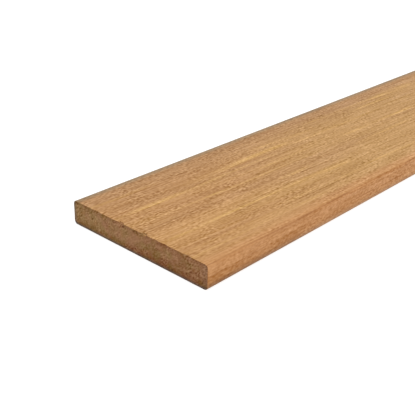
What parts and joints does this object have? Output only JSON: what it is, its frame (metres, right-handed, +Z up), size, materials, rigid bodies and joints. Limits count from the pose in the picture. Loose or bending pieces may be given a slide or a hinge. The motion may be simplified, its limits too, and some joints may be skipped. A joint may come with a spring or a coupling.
{
  "type": "decking board",
  "caption": "Flat hardwood decking plank with smooth planed faces, eased long edges and square-sawn ends, laid across joists as a walking surface.",
  "frame": {"origin": "middle of the underside, where the board rests on its joists", "axes": "+X along the length and the grain, towards the far end; +Y across the width; +Z up through the walking face"},
  "size_m": [1.8, 0.14, 0.02],
  "materials": {
    "hardwood": "matte"
  },
  "bodies": {
    "root": {"decking_board": "hardwood"}
  },
  "joints": []
}
